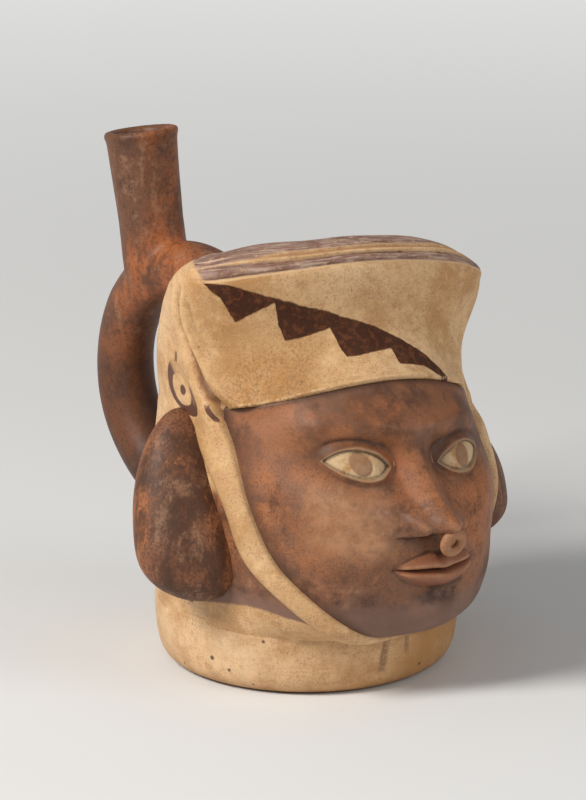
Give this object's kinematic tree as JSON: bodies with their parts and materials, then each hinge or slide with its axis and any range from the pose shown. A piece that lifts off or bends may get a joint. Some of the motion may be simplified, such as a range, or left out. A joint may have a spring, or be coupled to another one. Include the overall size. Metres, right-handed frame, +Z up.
{
  "type": "head-shaped stirrup-spout vessel",
  "caption": "Hand-built ceramic bottle shaped as a hooded head on a drum foot, with a stirrup handle behind that carries a straight spout.",
  "frame": {"origin": "centre of the foot's flat underside, on the surface it stands on", "axes": "+Z up, the face looks along -Y, the stirrup and spout lie behind it at +Y, the figure's left hand side is at +X"},
  "size_m": [0.1838, 0.2275, 0.2026],
  "materials": {
    "cream_slip": "burnished cream slip with ochre stains, fine pits and rubbed edges",
    "red_brown_slip": "burnished red-brown slip with orange patches and soot clouds",
    "dark_slip": "burnished dark brown slip worn through to orange clay",
    "purple_slip": "burnished purplish brown slip with thin cream lines",
    "smoked_clay": "burnished brown clay, smoked in firing, with orange patches"
  },
  "bodies": {
    "root": {"foot_floor": "cream_slip", "foot_drum": "cream_slip", "face_shell": "red_brown_slip", "hood_shell": "cream_slip", "headdress_panel": "cream_slip", "rim_band": "purple_slip", "crown_slab": "cream_slip", "hood_border": "cream_slip", "hair_lobe_right": "dark_slip", "hair_lobe_left": "dark_slip", "nose_disc": "red_brown_slip", "stirrup_rear_arm": "smoked_clay", "stirrup_front_arm": "smoked_clay", "spout": "smoked_clay"}
  },
  "joints": []
}
